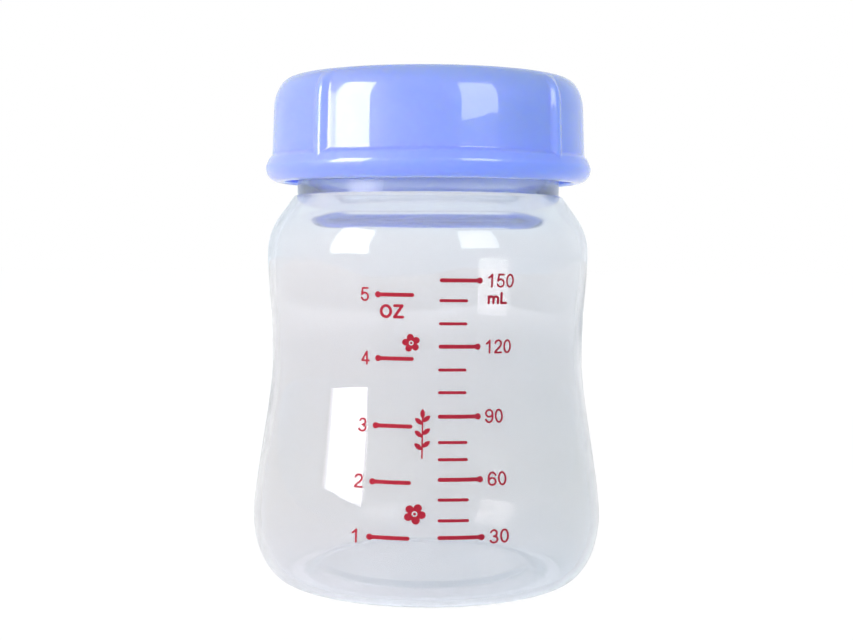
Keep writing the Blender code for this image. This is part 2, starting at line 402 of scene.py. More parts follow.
class Recipe:
    """A node material under way: a Principled shader and the noises that drive its sockets."""

    def __init__(self, name: str) -> None:
        """Start a material with its shader and object coordinates.

        Args:
            name: The material's name.
        """
        self.material = bpy.data.materials.new(name)
        self.material.use_nodes = True
        self.tree = self.material.node_tree
        self.shader = self.tree.nodes["Principled BSDF"]
        self.place = self.node("ShaderNodeTexCoord").outputs["Object"]

    def node(self, kind: str, **values: float | tuple[float, ...]) -> bpy.types.Node:
        """Return a new node with the given input values."""
        return add_node(self.tree, kind, **values)

    def noise(self, feature: float, detail: float) -> bpy.types.NodeSocket:
        """Return a noise over the surface.

        Args:
            feature: Size of its largest features.
            detail: Number of finer layers.

        Returns:
            The noise's value.
        """
        made = self.node("ShaderNodeTexNoise", Scale=1 / feature, Detail=detail)
        self.tree.links.new(self.place, made.inputs["Vector"])
        return made.outputs["Fac"]

    def set(self, **values: float | tuple[float, ...]) -> None:
        """Set sockets of the shader that hold one value all over the surface."""
        for label, value in values.items():
            self.shader.inputs[label.replace("_", " ")].default_value = value

    def height(self, waver: float, feature: float) -> bpy.types.NodeSocket:
        """Return the height over the surface that the bottle stands on.

        Args:
            waver: How far a noise moves it up and down.
            feature: Size of that noise's largest features.

        Returns:
            The height.
        """
        parts = self.node("ShaderNodeSeparateXYZ")
        self.tree.links.new(self.place, parts.inputs["Vector"])
        return combined(self.tree, "MULTIPLY_ADD", self.noise(feature, detail=3), waver, parts.outputs["Z"])

    def profile(
        self, label: str, height: bpy.types.NodeSocket, stops: Sequence[tuple[float, float | Colour]]
    ) -> None:
        """Let the height drive one of the shader's numbers or colours.

        Args:
            label: The socket's name.
            height: The height over the surface that the bottle stands on.
            stops: Heights from the bottom up, each with the number or colour there.
        """
        top = stops[-1][0]
        ramp = self.node("ShaderNodeValToRGB")
        knots = ramp.color_ramp.elements
        while len(knots) < len(stops):
            knots.new(1.0)
        for knot, (level, value) in zip(knots, stops):
            knot.position = level / top
            knot.color = (*value, 1) if isinstance(value, tuple) else (value, value, value, 1)
        self.tree.links.new(combined(self.tree, "DIVIDE", height, top), ramp.inputs["Fac"])
        self.tree.links.new(ramp.outputs["Color"], self.shader.inputs[label])

    def drive(self, label: str, value: bpy.types.NodeSocket, low: float, high: float) -> None:
        """Let a noise drive one of the shader's numbers.

        Args:
            label: The socket's name.
            value: The noise.
            low: Number at its low places.
            high: Number at its high places.
        """
        start, end = NOISE_ENDS
        spread = self.node("ShaderNodeMapRange", From_Min=start, From_Max=end, To_Min=low, To_Max=high)
        self.tree.links.new(value, spread.inputs["Value"])
        self.tree.links.new(spread.outputs["Result"], self.shader.inputs[label])

    def tint(self, value: bpy.types.NodeSocket, low: Colour, high: Colour) -> None:
        """Let a noise drive the shader's colour.

        Args:
            value: The noise.
            low: Colour at its low places.
            high: Colour at its high places.
        """
        ramp = self.node("ShaderNodeValToRGB")
        for knot, position, colour in zip(ramp.color_ramp.elements, NOISE_ENDS, (low, high)):
            knot.position = position
            knot.color = (*colour, 1)
        self.tree.links.new(value, ramp.inputs["Fac"])
        self.tree.links.new(ramp.outputs["Color"], self.shader.inputs["Base Color"])

    def bump(self, value: bpy.types.NodeSocket, height: float, skins: Sequence[str] = ("Normal",)) -> None:
        """Let a noise raise the surface.

        Args:
            value: The noise.
            height: How far its high places stand above its low ones.
            skins: The shader's normals that follow it.
        """
        relief = self.node("ShaderNodeBump", Distance=height, Strength=1.0)
        self.tree.links.new(value, relief.inputs["Height"])
        for skin in skins:
            self.tree.links.new(relief.outputs["Normal"], self.shader.inputs[skin])


@dataclass(frozen=True)
class HazyPlastic:
    """Natural polypropylene: a clear glossy skin over a body that scatters some of the light.

    Its colour, with painted shade and light in it, its clearness and haze are given at heights from the
    bottom up, which a noise makes waver.
    """

    name: str
    tones: Sequence[tuple[float, Colour]]
    clearness: Sequence[Point]
    haze: Sequence[Point]
    waver: float
    ripple: float
    sheen: float
    waver_size: float = 12 * MM
    ripple_size: float = 11 * MM

    def material(self) -> bpy.types.Material:
        """Return the plastic as a node material.

        Returns:
            The finished material.
        """
        recipe = Recipe(self.name)
        height = recipe.height(self.waver, self.waver_size)
        # The colour by height carries painted shade and light
        recipe.profile("Base Color", height, self.tones)
        recipe.profile("Roughness", height, self.haze)
        recipe.profile("Transmission Weight", height, self.clearness)
        recipe.bump(recipe.noise(self.ripple_size, detail=2), self.ripple)
        recipe.set(IOR=PLASTIC_IOR, Specular_Tint=(self.sheen, self.sheen, self.sheen, 1))
        return recipe.material


@dataclass(frozen=True)
class GlossyPlastic:
    """Coloured moulded plastic with a polished skin, through which some light passes."""

    name: str
    low: Colour
    high: Colour
    gloss: Point
    ripple: float
    reach: Colour
    depth: float
    mottle_size: float = 14 * MM
    gloss_size: float = 3 * MM
    ripple_size: float = 7 * MM
    skin_haze: float = 0.02
    skin_ior: float = 1.5

    def material(self) -> bpy.types.Material:
        """Return the plastic as a node material.

        Returns:
            The finished material.
        """
        recipe = Recipe(self.name)
        recipe.tint(recipe.noise(self.mottle_size, detail=3), self.low, self.high)
        recipe.drive("Roughness", recipe.noise(self.gloss_size, detail=4), *self.gloss)
        recipe.bump(recipe.noise(self.ripple_size, detail=1), self.ripple, ("Normal", "Coat Normal"))
        recipe.set(IOR=PLASTIC_IOR, Coat_Weight=1.0, Coat_Roughness=self.skin_haze, Coat_IOR=self.skin_ior)
        recipe.set(Subsurface_Weight=1.0, Subsurface_Radius=self.reach, Subsurface_Scale=self.depth)
        return recipe.material


@dataclass(frozen=True)
class SatinPlastic:
    """Soft milky plastic with a satin skin."""

    name: str
    low: Colour
    high: Colour
    clearness: float
    gloss: Point = (0.30, 0.46)
    grain: float = 0.012 * MM
    mottle_size: float = 10 * MM
    gloss_size: float = 1.5 * MM
    grain_size: float = 0.6 * MM
    ior: float = 1.5

    def material(self) -> bpy.types.Material:
        """Return the plastic as a node material.

        Returns:
            The finished material.
        """
        recipe = Recipe(self.name)
        recipe.tint(recipe.noise(self.mottle_size, detail=3), self.low, self.high)
        recipe.drive("Roughness", recipe.noise(self.gloss_size, detail=4), *self.gloss)
        recipe.bump(recipe.noise(self.grain_size, detail=2), self.grain)
        recipe.set(IOR=self.ior, Transmission_Weight=self.clearness)
        return recipe.material


@dataclass(frozen=True)
class PrintingInk:
    """Screen-printing ink: opaque, satin, with the faint mottle of the mesh it went through."""

    name: str
    low: Colour
    high: Colour
    gloss: Point = (0.45, 0.62)
    specular: float = 0.12
    grain: float = 0.004 * MM
    mottle_size: float = 0.9 * MM
    gloss_size: float = 0.3 * MM
    grain_size: float = 0.22 * MM

    def material(self) -> bpy.types.Material:
        """Return the ink as a node material.

        Returns:
            The finished material.
        """
        recipe = Recipe(self.name)
        recipe.tint(recipe.noise(self.mottle_size, detail=4), self.low, self.high)
        recipe.drive("Roughness", recipe.noise(self.gloss_size, detail=3), *self.gloss)
        recipe.bump(recipe.noise(self.grain_size, detail=2), self.grain)
        recipe.set(Specular_IOR_Level=self.specular)
        return recipe.material


BOTTLE_PLASTIC = HazyPlastic(
    "hazy_natural_plastic",
    # Painted shade and light: darker and warmer round the belly and waist, paler and bluer towards the neck
    # under the cap; the warmth offsets the blue inner light
    tones=(
        (0, (0.825, 0.81, 0.825)),
        (9 * MM, (0.80, 0.78, 0.775)),
        (22 * MM, (0.79, 0.77, 0.755)),
        (46 * MM, (0.79, 0.77, 0.765)),
        (66 * MM, (0.885, 0.865, 0.86)),
        (73.5 * MM, (0.90, 0.90, 0.91)),
        (76 * MM, (0.88, 0.90, 0.93)),
    ),
    clearness=(
        (0, 0.79),
        (5 * MM, 0.79),
        (14 * MM, 0.83),
        (45 * MM, 0.84),
        (62 * MM, 0.88),
        (74 * MM, 0.90),
        (76 * MM, 0.94),
    ),
    haze=(
        (0, 0.22),
        (2.5 * MM, 0.18),
        (5 * MM, 0.025),
        (60 * MM, 0.02),
        (66 * MM, 0.08),
        (74 * MM, 0.10),
        (75.5 * MM, 0.22),
    ),
    waver=3 * MM,
    ripple=0.035 * MM,
    sheen=0.65,
)
CAP_PLASTIC = GlossyPlastic(
    "periwinkle_plastic",
    low=(0.245, 0.335, 0.97),
    high=(0.27, 0.36, 0.985),
    gloss=(0.40, 0.50),
    ripple=0.012 * MM,
    reach=(0.25, 0.4, 1.0),
    depth=8 * MM,
)
DISC_PLASTIC = SatinPlastic("milky_plastic", (0.84, 0.85, 0.87), (0.90, 0.91, 0.92), clearness=0.25)
CRIMSON_INK = PrintingInk("crimson_ink", (0.34, 0.010, 0.024), (0.39, 0.017, 0.034))


# The bottle


@dataclass
class MilkBottle:
    """The moulded bottle: recessed base, belly, waist, shoulder and threaded neck in one skin.

    Shares are lengths of the handles at a curve's two ends. The shoulder's extra is how much thicker its
    wall is inside, at the front and back. It grows between two depths under the collar, its ends, and fades
    between two angles from the front or back, its sides.
    """

    neck_radius: float = 24.9 * MM
    neck_length: float = 18.7 * MM
    neck_wall: float = 1.8 * MM
    rim_round: float = 0.5 * MM
    collar_ledge: float = 0.6 * MM
    shoulder_width: float = 5.0 * MM
    waist_depth: float = 0.85 * MM
    belly_swell: float = 3.6 * MM
    foot_reach: float = 7.05 * MM
    belly_height: float = 12.5 * MM
    waist_rise: float = 28.9 * MM
    upper_rise: float = 20.7 * MM
    shoulder_rise: float = 10.8 * MM
    shoulder_bend: float = 11.8 * MM
    wall: float = 1.3 * MM
    wall_ripple: float = 0.05 * MM
    ripple_waves: Sequence[Point] = ((3, 7 * MM), (5, -4.5 * MM))
    ripple_fade: float = 3 * MM
    shoulder_extra: float = 0.75 * MM
    extra_ends: Point = (6.9 * MM, 2.3 * MM)
    extra_sides: Point = (math.radians(36), math.radians(60))
    bore_round: float = 1.2 * MM
    collar_round: float = 0.25 * MM
    foot_ring_width: float = 2.4 * MM
    base_bend_width: float = 4.8 * MM
    base_recess: float = 1.6 * MM
    belly_to_waist_shares: Point = (0.20, 0.22)
    waist_to_upper_shares: Point = (0.58, 0.29)
    base_bend_shares: Point = (0.50, 0.50)
    thread_height: float = 1.8 * MM
    thread_start: float = 77.0 * MM
    thread_turns: float = 1.5
    thread_azimuth: float = math.radians(-150)
    columns: int = 192
    span_steps: int = 28
    round_steps: int = 20
    neck_steps: int = 72

    def __post_init__(self) -> None:
        """Work out the radii and heights that follow from the sizes."""
        self.bore_radius = self.neck_radius - self.neck_wall
        self.collar_radius = self.neck_radius + self.collar_ledge
        self.upper_radius = self.collar_radius + self.shoulder_width
        self.waist_radius = self.upper_radius - self.waist_depth
        self.belly_radius = self.waist_radius + self.belly_swell
        self.foot_radius = self.belly_radius - self.foot_reach
        self.waist_height = self.belly_height + self.waist_rise
        self.upper_height = self.waist_height + self.upper_rise
        self.collar_height = self.upper_height + self.shoulder_rise
        self.rim_height = self.collar_height + self.neck_length
        self.thread = HelicalThread(
            self.thread_start, self.thread_azimuth, self.thread_turns, self.thread_height
        )
        self.outside = self.shell()
        self.inner_points = min(self.hollow_points(extra) for extra in (0.0, self.shoulder_extra))

    def shoulder(self) -> Outline:
        """Return the shoulder: a bend that runs straight on to the edge of the collar.

        Returns:
            The points from the end of the body's wall.
        """
        rise = self.collar_height - self.upper_height
        centre = (self.upper_radius - self.shoulder_bend, self.upper_height)
        collar = (self.collar_radius, self.collar_height)
        slope = math.atan2(rise, self.collar_radius - centre[0])
        slope -= math.acos(self.shoulder_bend / math.dist(centre, collar))
        bend = arc(centre, (self.shoulder_bend, self.shoulder_bend), 0, slope, self.round_steps)
        return joined(bend, straight(bend[-1], collar, self.round_steps // 2))

    def shell(self) -> Outline:
        """Return the outside from the middle of the base up to the collar.

        Returns:
            The points.
        """
        ring = self.foot_radius - self.foot_ring_width
        recess = ring - self.base_bend_width
        belly = (self.belly_radius, self.belly_height)
        waist = (self.waist_radius, self.waist_height)
        upper = (self.upper_radius, self.upper_height)
        foot = (self.foot_radius, self.belly_height)
        reach = (self.foot_reach, self.belly_height)
        return joined(
            straight((0, self.base_recess), (recess, self.base_recess), self.round_steps),
            level_span((recess, self.base_recess), (ring, 0), self.base_bend_shares, self.round_steps),
            arc(foot, reach, -QUARTER_TURN, 0, self.span_steps),
            upright_span(belly, waist, self.belly_to_waist_shares, self.span_steps),
            upright_span(waist, upper, self.waist_to_upper_shares, self.span_steps),
            self.shoulder(),
        )

    def neck(self) -> Outline:
        """Return the neck from the collar's edge over the rim and into the bore.

        Returns:
            The points.
        """
        outside = (self.neck_radius, self.rim_height)
        inside = (self.bore_radius, self.rim_height)
        edge = (self.collar_radius, self.collar_height)
        root = (self.neck_radius, self.collar_height)
        bore_foot = (self.bore_radius, self.collar_height)
        wall_foot = (self.neck_radius, self.collar_height + self.collar_round)
        shoulder_of_rim = (self.neck_radius, self.rim_height - self.rim_round)
        return joined(
            rounded_corner(self.outside[-2], edge, root, self.collar_round),
            rounded_corner(edge, root, outside, self.collar_round),
            straight(wall_foot, shoulder_of_rim, self.neck_steps),
            rounded_corner(root, outside, inside, self.rim_round),
            rounded_corner(outside, inside, bore_foot, self.rim_round),
        )

    def inner_shell(self, extra: float) -> tuple[Outline, Point]:
        """Return the inside of the shell and the corner where its line meets the bore.

        Args:
            extra: How much thicker the wall grows towards the neck.

        Returns:
            The points from the middle of the floor, and the corner.
        """
        start, end = (self.collar_height - depth for depth in self.extra_ends)
        walls = [self.wall + extra * eased(height, start, end) for _, height in self.outside]
        inside = offset(self.outside, walls)
        low, high = inside[-3:-1]
        climb = (high[1] - low[1]) / (high[0] - low[0])
        return inside, (self.bore_radius, low[1] + climb * (self.bore_radius - low[0]))

    def hollow_points(self, extra: float) -> int:
        """Return how many points of the inside lie before the corner's rounding."""
        inside, corner = self.inner_shell(extra)
        return sum(
            point[0] <= corner[0] or math.dist(point, corner) > self.bore_round for point in inside[:-1]
        )

    def hollow(self, azimuth: float) -> Outline:
        """Return the inside from the middle of the floor up to the bore, thickest at the front and back.

        Args:
            azimuth: Direction from the axis.

        Returns:
            The points.
        """
        aside = math.acos(min(abs(math.sin(azimuth)), 1.0))
        share = 1 - eased(aside, *self.extra_sides)
        inside, corner = self.inner_shell(self.shoulder_extra * share)
        kept = inside[: self.inner_points]
        rim = (self.bore_radius, self.rim_height)
        return joined(kept, rounded_corner(kept[-1], corner, rim, self.bore_round, self.round_steps))

    def outline_at(self, azimuth: float) -> Outline:
        """Return the whole outline, with the thread and the wall's slight ripples.

        Args:
            azimuth: Direction from the axis.

        Returns:
            The points from under the base, round the rim and back to the axis.
        """
        neck = [
            (radius + (self.thread.rise(azimuth, height) if radius == self.neck_radius else 0), height)
            for radius, height in self.neck()
        ]
        hollow = []
        for radius, height in self.hollow(azimuth):
            wave = sum(math.sin(folds * azimuth + height / rise) for folds, rise in self.ripple_waves)
            fade = eased(radius, self.bore_radius, self.bore_radius + self.ripple_fade)
            hollow.append((radius - self.wall_ripple * wave / 2 * fade, height))
        return joined(self.outside[:-1], neck, reversed(hollow))

    def build(self) -> bpy.types.Object:
        """Return the bottle, which stands for its solid."""
        skin = TurnedSkin("milk_bottle", self.outline_at, even_azimuths(self.columns))
        return fitted(skin.build(BOTTLE_PLASTIC.material()), "bottle_body", "bottle")

    def surface(self, azimuth: np.ndarray, height: np.ndarray, lift: float) -> list[tuple[float, ...]]:
        """Return places on the printed side.

        Args:
            azimuth: Their directions from the axis, from the middle of the printed side.
            height: Their heights, between the belly and the collar.
            lift: How far they stand out from the surface.

        Returns:
            The places.
        """
        wall = {level: radius for radius, level in self.outside if level >= self.belly_height}
        heights, radii = np.array(sorted(wall.items())).T
        lean = np.interp(height, heights, np.gradient(radii, heights))
        stretch = np.sqrt(1 + lean**2)
        reach = np.interp(height, heights, radii) + lift / stretch
        rise = height - lift * lean / stretch
        return list(zip(reach * np.sin(azimuth), -reach * np.cos(azimuth), rise))


def fitted(piece: bpy.types.Object, node: str, body: str) -> bpy.types.Object:
    """Let a piece stand for a solid of the frame.

    Args:
        piece: The finished piece.
        node: The solid that it stands for.
        body: The body that both ride on.

    Returns:
        The piece.
    """
    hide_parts(node)
    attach(piece, body)
    return piece


# The printed scale


@dataclass(frozen=True)
class PenLine:
    """A line of even width with round ends, drawn through its points."""

    points: tuple[Point, ...]
    width: float

    def distance(self, x: np.ndarray, y: np.ndarray) -> np.ndarray:
        """Return how far each place lies outside the line, negative inside it.

        Args:
            x: Distances of the places to the right.
            y: Their heights.

        Returns:
            The distances.
        """
        nearest = np.full(x.shape, np.inf)
        for (x0, y0), (x1, y1) in zip(self.points, self.points[1:]):
            along, rise = x1 - x0, y1 - y0
            share = np.clip(((x - x0) * along + (y - y0) * rise) / (along**2 + rise**2), 0, 1)
            nearest = np.minimum(nearest, np.hypot(x - x0 - share * along, y - y0 - share * rise))
        return nearest - self.width / 2

    def reach(self) -> list[Point]:
        """Return points that the line's box has to hold."""
        half = self.width / 2
        return [(x + side * half, y + side * half) for x, y in self.points for side in (-1, 1)]


@dataclass(frozen=True)
class Dot:
    """A round dot."""

    middle: Point
    size: float

    def distance(self, x: np.ndarray, y: np.ndarray) -> np.ndarray:
        """Return how far each place lies outside the dot, negative inside it."""
        return np.hypot(x - self.middle[0], y - self.middle[1]) - self.size / 2

    def reach(self) -> list[Point]:
        """Return points that the dot's box has to hold."""
        half = self.size / 2
        return [(self.middle[0] + side * half, self.middle[1] + side * half) for side in (-1, 1)]


@dataclass(frozen=True)
class Leaf:
    """A pointed leaf, the part that two equal discs share."""

    root: Point
    angle: float
    length: float
    width: float

    def distance(self, x: np.ndarray, y: np.ndarray) -> np.ndarray:
        """Return how far each place lies outside the leaf, negative inside it.

        Args:
            x: Distances of the places to the right.
            y: Their heights.

        Returns:
            The distances.
        """
        cosine, sine = math.cos(self.angle), math.sin(self.angle)
        along = (x - self.root[0]) * cosine + (y - self.root[1]) * sine - self.length / 2
        aside = (y - self.root[1]) * cosine - (x - self.root[0]) * sine
        disc = (self.length**2 + self.width**2) / (4 * self.width)
        far = disc - self.width / 2
        return np.maximum(np.hypot(along, aside - far), np.hypot(along, aside + far)) - disc

    def reach(self) -> list[Point]:
        """Return points that the leaf's box has to hold."""
        return [(self.root[0] + side * self.length, self.root[1] + side * self.length) for side in (-1, 1)]


Mark = PenLine | Dot | Leaf


@dataclass(frozen=True)
class Motif:
    """Marks printed as one: solid ones, ones left open in them, and ones printed inside the open ones."""

    solid: tuple[Mark, ...]
    open: tuple[Mark, ...] = ()
    inner: tuple[Mark, ...] = ()
    cell: float = 0.08 * MM
    least_share: float = 0.04

    def distance(self, x: np.ndarray, y: np.ndarray) -> np.ndarray:
        """Return how far each place lies outside the ink, negative inside it.

        Args:
            x: Distances of the places to the right.
            y: Their heights.

        Returns:
            The distances.
        """
        ink = np.minimum.reduce([mark.distance(x, y) for mark in self.solid])
        for mark in self.open:
            ink = np.maximum(ink, -mark.distance(x, y))
        for mark in self.inner:
            ink = np.minimum(ink, mark.distance(x, y))
        return ink

    def flat(self) -> tuple[list[Point], list[list[int]]]:
        """Return the ink on the flat print, in small cells that can follow the bottle.

        Returns:
            The ink's points, and each cell's points by number.
        """
        reach = [point for mark in self.solid for point in mark.reach()]
        lows = [min(point[axis] for point in reach) - self.cell for axis in range(2)]
        highs = [max(point[axis] for point in reach) + 2 * self.cell for axis in range(2)]
        x, y = (np.arange(low, high, self.cell) for low, high in zip(lows, highs))
        ink = self.distance(*np.meshgrid(x, y, indexing="ij"))
        points: list[Point] = []
        known: dict[tuple, int] = {}

        def place(first: tuple[int, int], second: tuple[int, int]) -> int:
            """Return the number of a point: a cell's corner, or where the ink's edge crosses a side.

            Args:
                first: A corner.
                second: The same corner, or the other end of the side.

            Returns:
                Its number.
            """
            key = (min(first, second), max(first, second))
            if key not in known:
                (i, j), (far_i, far_j) = near, far = key
                share = 0.0
                if near != far:
                    share = ink[near] / (ink[near] - ink[far])
                    share = min(max(share, self.least_share), 1 - self.least_share)
                known[key] = len(points)
                points.append((x[i] + share * (x[far_i] - x[i]), y[j] + share * (y[far_j] - y[j])))
            return known[key]

        faces = []
        for i in range(len(x) - 1):
            for j in range(len(y) - 1):
                corners = [(i, j), (i + 1, j), (i + 1, j + 1), (i, j + 1)]
                face = []
                for corner, following in zip(corners, corners[1:] + corners[:1]):
                    if ink[corner] < 0:
                        face.append(place(corner, corner))
                    if (ink[corner] < 0) != (ink[following] < 0):
                        face.append(place(corner, following))
                if face:
                    faces.append(face)
        return points, faces


class DotEnd(Enum):
    """Which end of a scale's line carries its dot."""

    LEFT = "left"
    RIGHT = "right"
    NONE = "none"


def scale_line(
    start: float, end: float, height: float, width: float, dot: DotEnd, dot_size: float
) -> Motif:
    """Return one line of a scale.

    Args:
        start: Its left end.
        end: Its right end.
        height: Its height.
        width: Its thickness.
        dot: Which end carries a dot.
        dot_size: The dot's diameter.

    Returns:
        The line with its dot.
    """
    half = width / 2
    marks: list[Mark] = [PenLine(((start + half, height), (end - half, height)), width)]
    if dot is DotEnd.LEFT:
        marks.append(Dot((start + dot_size / 2, height), dot_size))
    if dot is DotEnd.RIGHT:
        marks.append(Dot((end - dot_size / 2, height), dot_size))
    return Motif(tuple(marks), cell=0.1 * MM)


def flower(middle: Point, size: float, turn: float, petals: int = 5) -> Motif:
    """Return a plain flower of round petals with an open ring round its eye.

    Args:
        middle: Its middle on the flat print.
        size: Its width.
        turn: The direction of its first petal.
        petals: Their number.

    Returns:
        The flower.
    """
    petal, heart, ring, eye = (share * size for share in (0.37, 0.55, 0.27, 0.13))
    spread = (size - petal) / 2
    lobes = []
    for number in range(petals):
        angle = turn + FULL_TURN * number / petals
        place = (middle[0] + spread * math.cos(angle), middle[1] + spread * math.sin(angle))
        lobes.append(Dot(place, petal))
    return Motif((*lobes, Dot(middle, heart)), (Dot(middle, ring),), (Dot(middle, eye),))


def sprig(middle: Point, length: float, leaf: Point, pairs: int = 3) -> Motif:
    """Return a small upright sprig: a stem with pairs of leaves and one leaf at its tip.

    Args:
        middle: Its middle on the flat print.
        length: Its whole length.
        leaf: Length and width of its leaves.
        pairs: Number of pairs.

    Returns:
        The sprig.
    """
    stem = 0.26 * MM
    bare_share = 0.75
    stagger = 0.2
    lean = math.radians(50)
    across, foot = middle[0], middle[1] - length / 2
    tip = foot + length - leaf[0]
    pitch = (tip - foot) / (pairs + stagger)
    marks: list[Mark] = [PenLine(((across, foot + stem), (across, tip + stem)), stem)]
    marks.append(Leaf((across, tip), QUARTER_TURN, *leaf))
    for pair in range(pairs):
        for side in (1, -1):
            root = (across, foot + pitch * (pair + bare_share + stagger * (side > 0)))
            marks.append(Leaf(root, QUARTER_TURN - side * lean, *leaf))
    return Motif(tuple(marks), cell=0.06 * MM)


def bow(middle: Point, reach: Point, start: float, end: float) -> Outline:
    """Return a bow of a letter as points, its angles given in degrees."""
    return arc(middle, reach, math.radians(start), math.radians(end), steps=16)


def pen_lines(letter: str) -> list[Outline]:
    """Return the middle lines of a plain numeral or letter in a box that is 1 high.

    Args:
        letter: A digit, or a letter of the units.

    Returns:
        Its strokes.
    """
    six = [
        bow((0.32, 0.31), (0.255, 0.2475), 0, 360),
        bow((0.35, 0.5), (0.285, 0.4375), 35, 180) + [(0.065, 0.31)],
    ]
    two = bow((0.32, 0.69), (0.24, 0.2475), 168, -32)
    five = bow((0.32, 0.33), (0.255, 0.2675), 140, -160)
    strokes = {
        "0": [bow((0.32, 0.5), (0.255, 0.4375), 0, 360)],
        "1": [[(0.14, 0.71), (0.27, 0.79), (0.38, 0.9375)], [(0.38, 0.9375), (0.38, 0.0625)]],
        "2": [two + [(0.36, 0.38), (0.17, 0.22), (0.07, 0.0625), (0.58, 0.0625)]],
        "3": [bow((0.31, 0.72), (0.21, 0.2175), 160, -90), bow((0.31, 0.285), (0.25, 0.2225), 90, -160)],
        "4": [[(0.45, 0.0625), (0.45, 0.9375), (0.07, 0.30), (0.60, 0.30)]],
        "5": [[(0.55, 0.9375), (0.17, 0.9375), (0.10, 0.49)] + five],
        "6": six,
        "9": [[(0.64 - x, 1 - y) for x, y in line] for line in six],
        "m": [
            [(0.12, 0.10), (0.12, 0.62)],
            bow((0.325, 0.42), (0.205, 0.20), 180, 0) + [(0.53, 0.10)],
            bow((0.735, 0.42), (0.205, 0.20), 180, 0) + [(0.94, 0.10)],
        ],
        "L": [[(0.12, 0.90), (0.12, 0.10), (0.55, 0.10)]],
        "O": [bow((0.45, 0.5), (0.35, 0.40), 0, 360)],
        "Z": [[(0.12, 0.90), (0.66, 0.90), (0.10, 0.10), (0.70, 0.10)]],
    }
    return strokes[letter]


@dataclass(frozen=True)
class Lettering:
    """A numeral or a unit in plain sans-serif letters.

    The left and the foot are its lower left corner on the flat print. The pen's width and the letters' steps
    to the right are shares of the height.
    """

    text: str
    left: float
    foot: float
    height: float
    pen_share: float = 0.138
    step_share: float = 0.745

    def motif(self) -> Motif:
        """Return the letters as one motif.

        Returns:
            The letters.
        """
        lines: list[Mark] = []
        across = self.left
        for letter in self.text:
            for stroke in pen_lines(letter):
                points = tuple((across + x * self.height, self.foot + y * self.height) for x, y in stroke)
                lines.append(PenLine(points, self.pen_share * self.height))
            across += self.step_share * self.height
        return Motif(tuple(lines), cell=0.06 * MM)


